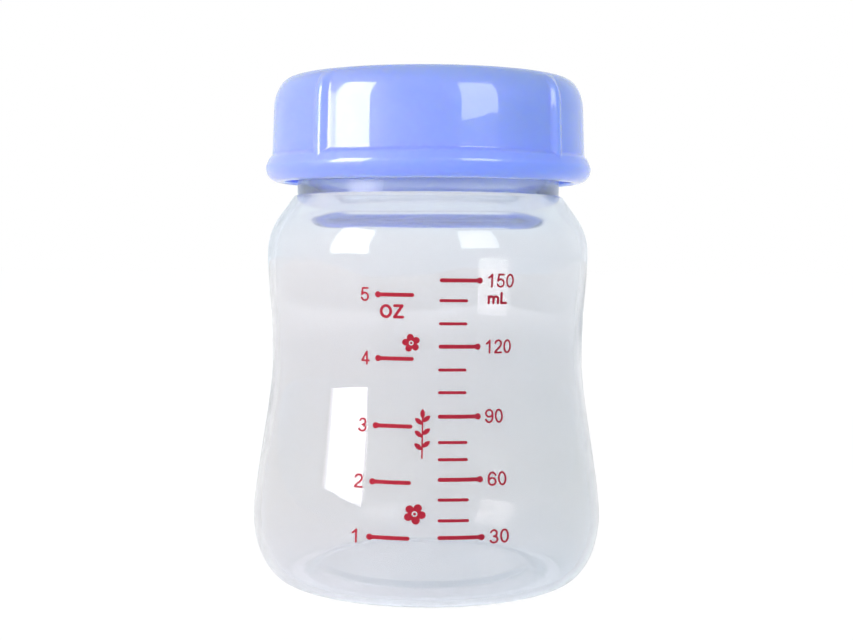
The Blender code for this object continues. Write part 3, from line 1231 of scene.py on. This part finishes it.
@dataclass
class PrintedScale:
    """The ink on the bottle: two scales, their numerals and units, two flowers and a sprig.

    A place on the flat print is its distance round the bottle from the middle of the printed side, at the
    print's radius, and its height. The whole print leans by a fraction of a degree about the pivot's height.
    """

    bottle: MilkBottle
    radius: float = 30.0 * MM
    lean: float = math.radians(0.45)
    pivot: float = 35.7 * MM
    ink: float = 0.03 * MM
    sunk: float = 0.01 * MM
    major_width: float = 0.68 * MM
    minor_width: float = 0.52 * MM
    dot_size: float = 1.08 * MM
    scale_left: float = 1.85 * MM
    minor_right: float = 6.85 * MM
    major_right: float = 9.35 * MM
    ounce_right: float = -2.45 * MM
    ounce_left: float = -9.35 * MM
    numeral_height: float = 2.42 * MM
    numeral_left: float = 10.15 * MM
    ounce_numeral_left: float = -12.0 * MM
    unit_pen_share: float = 0.2
    numbered_step: int = 30

    def __post_init__(self) -> None:
        """Set the heights of the graduations: every 10 mL from 30 mL up, and every ounce."""
        heights = (13.7, 16.6, 20.1, 23.5, 26.9, 29.8, 34.2, 38.3, 42.2, 46.25, 50.2, 54.2, 57.7)
        ounce_heights = (13.5, 22.9, 32.45, 44.05, 55.1)
        self.millilitres = {30 + 10 * step: height * MM for step, height in enumerate(heights)}
        self.ounces = {1 + step: height * MM for step, height in enumerate(ounce_heights)}

    def printed(self, name: str, motifs: list[Motif]) -> bpy.types.Object:
        """Return motifs as one thin layer of ink on the bottle.

        Args:
            name: The piece's name.
            motifs: What it shows.

        Returns:
            The piece.
        """
        flat: list[Point] = []
        faces: list[list[int]] = []
        for motif in motifs:
            points, cells = motif.flat()
            faces += [[index + len(flat) for index in cell] for cell in cells]
            flat += points
        count = len(flat)
        sides = Counter(edge for face in faces for edge in zip(face, face[1:] + face[:1]))
        walls = [[b, a, a + count, b + count] for a, b in sides if (b, a) not in sides]
        under = [[index + count for index in reversed(face)] for face in faces]
        places = self.places(flat, self.ink) + self.places(flat, -self.sunk)
        mesh = bpy.data.meshes.new(name)
        mesh.from_pydata(places, [], faces + under + walls)
        mesh.validate()
        mesh.shade_smooth()
        mesh.set_sharp_from_angle(angle=SHARP_EDGE)
        piece = link_object(name, mesh, self.material)
        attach(piece, "bottle")
        return piece

    def places(self, flat: list[Point], lift: float) -> list[tuple[float, ...]]:
        """Return where points of the flat print lie on the bottle.

        Args:
            flat: Their distances round the bottle, and heights.
            lift: How far above the surface.

        Returns:
            The places.
        """
        across, height = np.array(flat).T
        lean = math.tan(self.lean)
        azimuth = (across + (height - self.pivot) * lean) / self.radius
        return self.bottle.surface(azimuth, height - across * lean, lift)

    def build(self) -> list[bpy.types.Object]:
        """Return every printed piece.

        Returns:
            The pieces.
        """
        self.material = CRIMSON_INK.material()
        return [
            self.printed("millilitre_lines", self.millilitre_lines()),
            self.printed("ounce_lines", self.ounce_lines()),
            self.printed("millilitre_numerals", self.millilitre_numerals()),
            self.printed("ounce_numerals", self.ounce_numerals()),
            self.printed("unit_marks", self.unit_marks()),
            self.printed("printed_flowers", self.flowers()),
            self.printed("printed_sprig", [self.leaf_sprig()]),
        ]

    def millilitre_lines(self) -> list[Motif]:
        """Return the lines of the millilitre scale, each thirtieth long and dotted.

        Returns:
            The lines from the bottom up.
        """
        lines = []
        for volume, height in self.millilitres.items():
            if volume % self.numbered_step:
                right, width, dot = self.minor_right, self.minor_width, DotEnd.NONE
            else:
                right, width, dot = self.major_right, self.major_width, DotEnd.RIGHT
            lines.append(scale_line(self.scale_left, right, height, width, dot, self.dot_size))
        return lines

    def ounce_lines(self) -> list[Motif]:
        """Return the lines of the ounce scale."""
        ends = (self.ounce_left, self.ounce_right)
        return [
            scale_line(*ends, height, self.major_width, DotEnd.LEFT, self.dot_size)
            for height in self.ounces.values()
        ]

    def numeral(self, number: int, left: float, height: float) -> Motif:
        """Return a number whose middle stands at the height of its line."""
        return Lettering(str(number), left, height - self.numeral_height / 2, self.numeral_height).motif()

    def millilitre_numerals(self) -> list[Motif]:
        """Return the numerals beside the long lines."""
        return [
            self.numeral(volume, self.numeral_left, height)
            for volume, height in self.millilitres.items()
            if volume % self.numbered_step == 0
        ]

    def ounce_numerals(self) -> list[Motif]:
        """Return the numerals beside the ounce lines."""
        return [
            self.numeral(volume, self.ounce_numeral_left, height) for volume, height in self.ounces.items()
        ]

    def unit_marks(self) -> list[Motif]:
        """Return the two units, in heavier letters.

        Returns:
            The marks of the millilitre and the ounce.
        """
        millilitre = Lettering(
            "mL",
            left=10.35 * MM,
            foot=53.6 * MM,
            height=2.15 * MM,
            pen_share=self.unit_pen_share,
            step_share=1.12,
        )
        ounce = Lettering(
            "OZ",
            left=-8.5 * MM,
            foot=51.0 * MM,
            height=2.45 * MM,
            pen_share=self.unit_pen_share,
            step_share=0.96,
        )
        return [millilitre.motif(), ounce.motif()]

    def flowers(self) -> list[Motif]:
        """Return the two flowers beside the ounce scale."""
        upper = flower(middle=(-2.92 * MM, 46.8 * MM), size=3.2 * MM, turn=math.radians(100))
        lower = flower(middle=(-1.75 * MM, 17.7 * MM), size=3.55 * MM, turn=math.radians(64))
        return [upper, lower]

    def leaf_sprig(self) -> Motif:
        """Return the sprig between the two scales."""
        return sprig(middle=(-0.75 * MM, 31.2 * MM), length=8.6 * MM, leaf=(1.7 * MM, 0.8 * MM))


# The closure


@dataclass
class SealingDisc:
    """The dished disc that lies on the rim under the cap's top."""

    bottle: MilkBottle
    seat_gap: float = 0.3 * MM
    thickness: float = 1.2 * MM
    dish_depth: float = 2.2 * MM
    dish_lean: float = 0.6 * MM
    bore_clearance: float = 0.4 * MM
    hold_clearance: float = 0.8 * MM
    hold_reach: float = 0.5 * MM
    edge_round: float = 0.3 * MM
    columns: int = 160

    def __post_init__(self) -> None:
        """Work out the radii that follow from the bottle's neck."""
        self.height = self.bottle.rim_height + self.seat_gap
        self.dish_radius = self.bottle.bore_radius - self.bore_clearance
        self.hold_radius = self.bottle.neck_radius + self.hold_clearance
        self.radius = self.hold_radius + self.hold_reach

    def outline(self) -> Outline:
        """Return the disc's outline from under its middle.

        Returns:
            The points, back to above its middle.
        """
        base = self.height
        floor_radius = self.dish_radius - self.dish_lean
        dish = (floor_radius, base - self.dish_depth)
        root = (self.dish_radius, base)
        low_edge = (self.radius, base)
        high_edge = (self.radius, base + self.thickness)
        lip = (self.dish_radius - self.thickness, base + self.thickness)
        floor = (floor_radius - self.thickness, base + self.thickness - self.dish_depth)
        under = (0, dish[1])
        middle = (0, floor[1])
        return joined(
            [under],
            rounded_corner(under, dish, root, self.edge_round),
            [root],
            rounded_corner(root, low_edge, high_edge, self.edge_round),
            rounded_corner(low_edge, high_edge, lip, self.edge_round),
            rounded_corner(high_edge, lip, floor, self.edge_round),
            rounded_corner(lip, floor, middle, self.edge_round),
            [middle],
        )

    def build(self) -> bpy.types.Object:
        """Return the disc, which stands for its solid."""
        outline = self.outline()
        skin = TurnedSkin("mouth_disc", lambda azimuth: outline, even_azimuths(self.columns))
        return fitted(skin.build(DISC_PLASTIC.material()), "sealing_disc", "seal")


@dataclass
class ScrewCap:
    """The moulded cap: rounded top, grip ribs, a bead at its foot, and inside a thread and the disc's bead.

    The rib's fade shares say where, on the way over the corner, its rise begins and ends to sink.
    """

    bottle: MilkBottle
    disc: SealingDisc
    thread_room: float = 2.7 * MM
    hold_rise: float = 0.6 * MM
    seat_taper: float = 2.0 * MM
    mouth_chamfer: float = 0.4 * MM
    mouth_land: float = 0.2 * MM
    wall: float = 2.1 * MM
    top_wall: float = 1.6 * MM
    lean: float = 0.3 * MM
    corner_inset: float = 3.7 * MM
    corner_drop: float = 6.1 * MM
    skirt_gap: float = 2.5 * MM
    bead_proud: float = 1.2 * MM
    bead_drop: float = 2.65 * MM
    bead_cone: Point = (0.6 * MM, 1.8 * MM)
    bead_ledge: float = 0.6 * MM
    bead_rounds: tuple[float, float, float] = (0.32 * MM, 0.3 * MM, 0.35 * MM)
    rib_count: int = 4
    rib_width: float = 4.2 * MM
    rib_proud: float = 0.8 * MM
    rib_turn: float = math.radians(5.1)
    rib_fade_shares: Point = (0.15, 0.80)
    thread_start: float = 77.6 * MM
    thread_turns: float = 1.35
    thread_height: float = 2.2 * MM
    thread_shift: float = 0.5 * MM
    columns: int = 176
    rib_columns: int = 20
    round_steps: int = 20
    bead_steps: int = 8
    bore_steps: int = 52

    def __post_init__(self) -> None:
        """Work out the radii and heights that follow from the bottle and the disc."""
        self.base = self.bottle.collar_height + self.skirt_gap
        self.bore_radius = self.bottle.neck_radius + self.thread_room
        self.foot_radius = self.bore_radius + self.wall
        self.ceiling = self.disc.height + self.disc.thickness + self.disc.seat_gap
        self.top = self.ceiling + self.top_wall
        self.corner_base = self.top - self.corner_drop
        self.bead_middle = self.base + self.bead_drop
        self.wall_foot = self.bead_middle + self.bead_cone[1] + self.bead_ledge
        self.thread = self.bottle.thread.nested(
            self.thread_start, self.thread_turns, self.thread_height, self.thread_shift
        )

    def inside(self, azimuth: float) -> Outline:
        """Return the inside from the ceiling down to the mouth, with the thread.

        Args:
            azimuth: Direction from the axis.

        Returns:
            The points.
        """
        seat_radius = self.disc.radius + self.disc.seat_gap
        hold_top = self.disc.height - self.disc.seat_gap
        hold = (self.disc.hold_radius, hold_top - self.hold_rise)
        hold_foot = hold_top - 2 * self.hold_rise
        bore_top = (self.bore_radius, hold_foot - self.seat_taper)
        bore = straight(bore_top, (self.bore_radius, self.base + self.mouth_chamfer), self.bore_steps)
        threaded = [(radius - self.thread.rise(azimuth, height), height) for radius, height in bore]
        upper_seat = (seat_radius, hold_top)
        lower_seat = (seat_radius, hold_foot)
        return joined(
            [(0, self.ceiling), (seat_radius, self.ceiling), upper_seat],
            rounded_corner(upper_seat, hold, lower_seat, self.hold_rise / 2),
            [lower_seat],
            threaded,
            [(self.bore_radius + self.mouth_chamfer, self.base)],
        )

    def outside(self) -> Outline:
        """Return the outside from the underside round the bead, the wall and the corner to the top.

        Returns:
            The points.
        """
        land = self.bore_radius + self.mouth_chamfer + self.mouth_land
        bead_radius = self.foot_radius + self.bead_proud
        wall_head = self.foot_radius - self.lean
        bead_reach = (bead_radius - land, self.bead_drop)
        bead = arc((land, self.bead_middle), bead_reach, -QUARTER_TURN, 0, self.round_steps)
        nose = (bead_radius, self.bead_middle)
        cone_foot = (bead_radius, self.bead_middle + self.bead_rounds[0])
        cone_head = (bead_radius - self.bead_cone[0], self.bead_middle + self.bead_cone[1])
        foot = (self.foot_radius, self.wall_foot)
        head = (wall_head, self.corner_base)
        waist = joined(
            rounded_corner(nose, cone_foot, cone_head, self.bead_rounds[0], self.bead_steps),
            rounded_corner(cone_foot, cone_head, foot, self.bead_rounds[1], self.bead_steps),
            rounded_corner(cone_head, foot, head, self.bead_rounds[2], self.bead_steps),
        )
        corner_centre = (wall_head - self.corner_inset, self.corner_base)
        slope = self.lean / (self.corner_base - self.wall_foot) * self.corner_drop / self.corner_inset
        reach = (self.corner_inset, self.corner_drop)
        corner = arc(corner_centre, reach, math.atan(slope), QUARTER_TURN, 2 * self.round_steps)
        wall = straight(waist[-1], corner[0], self.round_steps)
        return joined(bead, waist, wall, corner, straight(corner[-1], (0, self.top), self.round_steps))

    def rib_swell(self, azimuth: float) -> float:
        """Return how much of a rib's full rise stands at an azimuth.

        Args:
            azimuth: Direction from the axis.

        Returns:
            From 1 on the crest to 0 past the sides.
        """
        pitch = FULL_TURN / self.rib_count
        aside = (azimuth - self.rib_turn) % pitch - pitch / 2
        width = self.rib_width / self.foot_radius
        if abs(aside) > width / 2:
            return 0
        return (1 + math.cos(FULL_TURN * aside / width)) / 2

    def ribbed(self, point: Point, swell: float) -> Point:
        """Return a point of the outside, moved out to where the rib over it stands.

        Args:
            point: A point of the plain outside.
            swell: How much of a rib's full rise stands there.

        Returns:
            The moved point.
        """
        radius, height = point
        if height < self.bead_middle:
            return point
        if height < self.wall_foot + self.bead_rounds[2]:
            return max(radius, self.foot_radius + self.rib_proud * swell), height
        climb = min(max(height - self.corner_base, 0) / self.corner_drop, 1)
        angle = math.asin(climb)
        start, end = (share * QUARTER_TURN for share in self.rib_fade_shares)
        sunk = min(max((angle - start) / (end - start), 0), 1)
        rise = self.rib_proud * swell * (1 + math.cos(HALF_TURN * sunk)) / 2
        return radius + rise * math.cos(angle), height + rise * math.sin(angle)

    def outline_at(self, azimuth: float) -> Outline:
        """Return the cap's whole outline at an azimuth."""
        swell = self.rib_swell(azimuth)
        return joined(self.inside(azimuth), [self.ribbed(point, swell) for point in self.outside()])

    def azimuths(self) -> list[float]:
        """Return the azimuths of the columns, close together across each rib and even between them.

        Returns:
            The azimuths, all the way round.
        """
        pitch = FULL_TURN / self.rib_count
        width = self.rib_width / self.foot_radius
        between = self.columns // self.rib_count
        found = []
        for rib in range(self.rib_count):
            side = self.rib_turn + (rib + 1 / 2) * pitch - width / 2
            found += [side + width * column / self.rib_columns for column in range(self.rib_columns)]
            found += [side + width + (pitch - width) * column / between for column in range(between)]
        return found

    def build(self) -> bpy.types.Object:
        """Return the cap, which stands for its solid."""
        skin = TurnedSkin("ribbed_cap", self.outline_at, self.azimuths())
        return fitted(skin.build(CAP_PLASTIC.material()), "screw_cap", "cap")


# The studio


@dataclass(frozen=True)
class Card:
    """A bright window that only reflections and refractions see, soft towards its outer edge."""

    name: str
    azimuths: Point
    elevations: Point
    brightness: float
    colour: Colour
    soft_share: float
    distance: float = 0.9

    def build(self, target: Vector) -> bpy.types.Object:
        """Return the card, facing the target.

        Args:
            target: The place that its angles are measured from.

        Returns:
            The staged object.
        """
        outer, inner = (math.radians(azimuth) for azimuth in self.azimuths)
        low, high = (math.radians(elevation) for elevation in self.elevations)
        round_card = ((outer, low), (inner, low), (inner, high), (outer, high))
        corners = [self.corner(turn, rise) for turn, rise in round_card]
        mesh = bpy.data.meshes.new(self.name)
        mesh.from_pydata([target + corner for corner in corners], [], [(0, 1, 2, 3)])
        across = mesh.uv_layers.new(name="across")
        for loop, place in zip(across.data, ((0, 0), (1, 0), (1, 1), (0, 1))):
            loop.uv = place
        card = link_object(self.name, mesh, self.material())
        card.visible_camera = False
        card.visible_diffuse = False
        card.visible_shadow = False
        return card

    def corner(self, turn: float, rise: float) -> Vector:
        """Return where a direction meets the card's distance."""
        level = self.distance * math.cos(rise)
        return Vector((level * math.sin(turn), -level * math.cos(turn), self.distance * math.sin(rise)))

    def material(self) -> bpy.types.Material:
        """Return the card's glowing material.

        Returns:
            The finished material.
        """
        material = bpy.data.materials.new(self.name)
        material.use_nodes = True
        tree = material.node_tree
        tree.nodes.clear()
        glow = add_node(tree, "ShaderNodeEmission", Color=(*self.colour, 1))
        place = add_node(tree, "ShaderNodeUVMap")
        parts = add_node(tree, "ShaderNodeSeparateXYZ")
        soft = add_node(tree, "ShaderNodeMapRange", From_Max=self.soft_share, To_Max=self.brightness)
        soft.interpolation_type = "SMOOTHSTEP"
        output = add_node(tree, "ShaderNodeOutputMaterial")
        tree.links.new(place.outputs["UV"], parts.inputs["Vector"])
        tree.links.new(parts.outputs["X"], soft.inputs["Value"])
        tree.links.new(soft.outputs["Result"], glow.inputs["Strength"])
        tree.links.new(glow.outputs["Emission"], output.inputs["Surface"])
        return material


@dataclass(frozen=True)
class Lamp:
    """A soft square lamp that lights the bottle evenly and doesn't show in its gloss."""

    name: str
    azimuth: float
    elevation: float
    level: float
    colour: Colour
    size: float = 0.7
    distance: float = 1.1

    def build(self, target: Vector) -> bpy.types.Object:
        """Return the lamp, aimed at the target.

        Args:
            target: The place that it faces.

        Returns:
            The lamp.
        """
        data = bpy.data.lights.new(self.name, "AREA")
        data.shape = "SQUARE"
        data.size = self.size
        data.color = self.colour
        # A surface that faces the lamp renders at this share of its colour
        data.energy = self.level * (math.pi * self.distance) ** 2
        lamp = bpy.data.objects.new(self.name, data)
        bpy.context.scene.collection.objects.link(lamp)
        turn, rise = math.radians(self.azimuth), math.radians(self.elevation)
        back = Vector((math.sin(turn) * math.cos(rise), -math.cos(turn) * math.cos(rise), math.sin(rise)))
        lamp.location = target + self.distance * back
        lamp.rotation_mode = "QUATERNION"
        lamp.rotation_quaternion = back.to_track_quat("Z", "Y")
        lamp.visible_glossy = False
        lamp.visible_transmission = False
        lamp.visible_camera = False
        return lamp


@dataclass
class Studio:
    """White surroundings, a pale floor, soft lamps, two windows and the camera.

    The sky's level is what dull surfaces get of it. The floor's glow is its share that shines on its own
    where a ray sees it directly, brighter to the camera than behind plastic.
    """

    camera_distance: float = 278.8 * MM
    camera_height: float = 63.7 * MM
    camera_aside: float = -0.19 * MM
    camera_pitch: float = math.radians(-2.96)
    camera_roll: float = math.radians(0.3)
    camera_near: float = 10 * MM
    sensor: float = 36.0
    lens: float = 61.2
    floor_size: float = 6.0
    floor_tone: float = 0.92
    floor_roughness: float = 0.9
    floor_glow: float = 0.92
    floor_glow_strength: float = 1.045
    floor_behind_plastic: float = 0.94
    sky_level: float = 0.62
    inner_light: float = 3.3
    inner_tint: Colour = (0.64, 0.84, 1.0)
    left_tint: Colour = (0.81, 0.915, 1.0)
    right_tint: Colour = (0.88, 0.89, 0.91)

    def build(self) -> None:
        """Build everything round the bottle."""
        low, high = CAD_BOX
        middle = (low + high) / 2
        self.surround()
        self.floor()
        for card in self.cards():
            card.build(middle)
        for lamp in self.lamps():
            lamp.build(middle)
        self.camera()

    def cards(self) -> list[Card]:
        """Return the two windows: a bright one on the left and a dimmer one on the right."""
        return [
            Card(
                "left_window",
                azimuths=(-73.5, -42.0),
                elevations=(2.0, 38.0),
                brightness=12.5,
                colour=(1.0, 0.99, 1.0),
                soft_share=0.24,
            ),
            Card(
                "right_window",
                azimuths=(51.0, 23.0),
                elevations=(10.8, 38.0),
                brightness=6.5,
                colour=(0.93, 0.96, 1.0),
                soft_share=0.04,
            ),
        ]

    def lamps(self) -> list[Lamp]:
        """Return the soft lamps: a warm one on the left, a blue one on the right and one behind."""
        return [
            Lamp("key_lamp", azimuth=-45, elevation=10, level=0.92, colour=(1.0, 0.84, 0.92)),
            Lamp("fill_lamp", azimuth=60, elevation=10, level=0.36, colour=(0.02, 0.54, 1.0)),
            Lamp("back_lamp", azimuth=180, elevation=12, level=0.85, colour=(0.92, 0.96, 1.0)),
        ]

    def surround(self) -> None:
        """Set the world: white to the camera, tinted else, and less bright to dull surfaces."""
        world = bpy.data.worlds.new("white_surround")
        bpy.context.scene.world = world
        world.use_nodes = True
        tree = world.node_tree
        tree.nodes.clear()
        level = add_node(tree, "ShaderNodeMapRange", To_Min=self.sky_level)
        back = add_node(tree, "ShaderNodeBackground")
        inner = add_node(tree, "ShaderNodeBackground")
        output = add_node(tree, "ShaderNodeOutputWorld")
        tree.links.new(self.seen_directly(tree), level.inputs["Value"])
        tree.links.new(level.outputs["Result"], back.inputs["Strength"])
        tree.links.new(self.sky_colour(tree), back.inputs["Color"])
        tree.links.new(self.with_inner_light(tree, back, inner), output.inputs["Surface"])

    def sky_colour(self, tree: bpy.types.NodeTree) -> bpy.types.NodeSocket:
        """Return white to the camera, and else a tint that runs from the left to the right.

        Args:
            tree: The nodes to add to.

        Returns:
            The colour.
        """
        direction = add_node(tree, "ShaderNodeTexCoord").outputs["Generated"]
        parts = add_node(tree, "ShaderNodeSeparateXYZ")
        tree.links.new(direction, parts.inputs["Vector"])
        across = add_node(tree, "ShaderNodeMapRange", From_Min=-1.0)
        tree.links.new(parts.outputs["X"], across.inputs["Value"])
        tints = add_node(tree, "ShaderNodeValToRGB")
        for stop, colour in zip(tints.color_ramp.elements, (self.left_tint, self.right_tint)):
            stop.color = (*colour, 1)
        tree.links.new(across.outputs["Result"], tints.inputs["Fac"])
        blend = add_node(tree, "ShaderNodeMix")
        blend.data_type = "RGBA"
        colours = [socket for socket in blend.inputs if socket.type == "RGBA"]
        colours[1].default_value = (1, 1, 1, 1)
        path = add_node(tree, "ShaderNodeLightPath")
        tree.links.new(path.outputs["Is Camera Ray"], blend.inputs[0])
        tree.links.new(tints.outputs["Color"], colours[0])
        return next(socket for socket in blend.outputs if socket.type == "RGBA")

    def with_inner_light(
        self, tree: bpy.types.NodeTree, surface: bpy.types.Node, glow: bpy.types.Node
    ) -> bpy.types.NodeSocket:
        """Return a surface with the light added that the lamps would send to the inside.

        The lamps' own light doesn't pass the bottle's clear wall, so dull places behind it get theirs
        from the surroundings. It is a little blue because part of it comes through the cap.

        Args:
            tree: The nodes to add to.
            surface: The node of the plain surface.
            glow: The glowing node that gives the light.

        Returns:
            The surface, brighter for rays that enter through the wall to a dull place.
        """
        path = add_node(tree, "ShaderNodeLightPath")
        dull = add_node(tree, "ShaderNodeMapRange", To_Max=self.inner_light)
        total = add_node(tree, "ShaderNodeAddShader")
        glow.inputs["Color"].default_value = (*self.inner_tint, 1)
        tree.links.new(path.outputs["Diffuse Depth"], dull.inputs["Value"])
        inside = combined(tree, "MULTIPLY", dull.outputs["Result"], path.outputs["Is Transmission Ray"])
        tree.links.new(inside, glow.inputs["Strength"])
        tree.links.new(surface.outputs[0], total.inputs[0])
        tree.links.new(glow.outputs[0], total.inputs[1])
        return total.outputs["Shader"]

    def seen_directly(self, tree: bpy.types.NodeTree) -> bpy.types.NodeSocket:
        """Return 1 for the rays of the camera, of gloss and of what shows through plastic, and else 0.

        Args:
            tree: The nodes to add to.

        Returns:
            The number.
        """
        path = add_node(tree, "ShaderNodeLightPath")
        total = path.outputs["Is Camera Ray"]
        for label in ("Is Glossy Ray", "Is Transmission Ray"):
            total = combined(tree, "MAXIMUM", total, path.outputs[label])
        return total

    def floor(self) -> None:
        """Build the pale floor, which glows white to the camera and keeps a soft shadow."""
        half = self.floor_size / 2
        mesh = bpy.data.meshes.new("floor")
        corners = [(-half, -half, 0), (half, -half, 0), (half, half, 0), (-half, half, 0)]
        mesh.from_pydata(corners, [], [(0, 1, 2, 3)])
        material = bpy.data.materials.new("pale_floor")
        material.use_nodes = True
        tree = material.node_tree
        shader = tree.nodes["Principled BSDF"]
        shader.inputs["Base Color"].default_value = (self.floor_tone, self.floor_tone, self.floor_tone, 1)
        shader.inputs["Roughness"].default_value = self.floor_roughness
        shader.inputs["Specular IOR Level"].default_value = 0.0
        glow = add_node(tree, "ShaderNodeEmission")
        inner = add_node(tree, "ShaderNodeEmission")
        level = add_node(
            tree, "ShaderNodeMapRange", To_Min=self.floor_behind_plastic, To_Max=self.floor_glow_strength
        )
        path = add_node(tree, "ShaderNodeLightPath")
        tree.links.new(path.outputs["Is Camera Ray"], level.inputs["Value"])
        tree.links.new(level.outputs["Result"], glow.inputs["Strength"])
        share = combined(tree, "MULTIPLY", self.seen_directly(tree), self.floor_glow)
        blend = add_node(tree, "ShaderNodeMixShader")
        tree.links.new(share, blend.inputs["Fac"])
        tree.links.new(shader.outputs["BSDF"], blend.inputs[1])
        tree.links.new(glow.outputs["Emission"], blend.inputs[2])
        surface = tree.nodes["Material Output"].inputs["Surface"]
        tree.links.new(self.with_inner_light(tree, blend, inner), surface)
        link_object("floor", mesh, material)

    def camera(self) -> None:
        """Place the camera in front of the printed side, a little above the waist."""
        data = bpy.data.cameras.new("camera")
        data.sensor_width = self.sensor
        data.lens = self.lens
        data.clip_start = self.camera_near
        camera = bpy.data.objects.new("camera", data)
        bpy.context.scene.collection.objects.link(camera)
        camera.location = (self.camera_aside, -self.camera_distance, self.camera_height)
        camera.rotation_mode = "XYZ"
        camera.rotation_euler = (QUARTER_TURN + self.camera_pitch, 0, 0)
        camera.rotation_euler.rotate_axis("Z", self.camera_roll)
        bpy.context.scene.camera = camera


def report(piece: bpy.types.Object) -> None:
    """Log a piece's name and number of faces."""
    LOG.info("%s: %d faces", piece.name, len(piece.data.polygons))


def main() -> None:
    """Build the bottle, its print, its disc, its cap and the studio."""
    logging.basicConfig(level=logging.INFO, format="%(name)s: %(message)s")
    bottle = MilkBottle()
    disc = SealingDisc(bottle)
    cap = ScrewCap(bottle, disc)
    report(bottle.build())
    for piece in PrintedScale(bottle).build():
        report(piece)
    report(disc.build())
    report(cap.build())
    Studio().build()
    bpy.context.scene.view_settings.view_transform = "Standard"


if __name__ == "__main__":
    main()
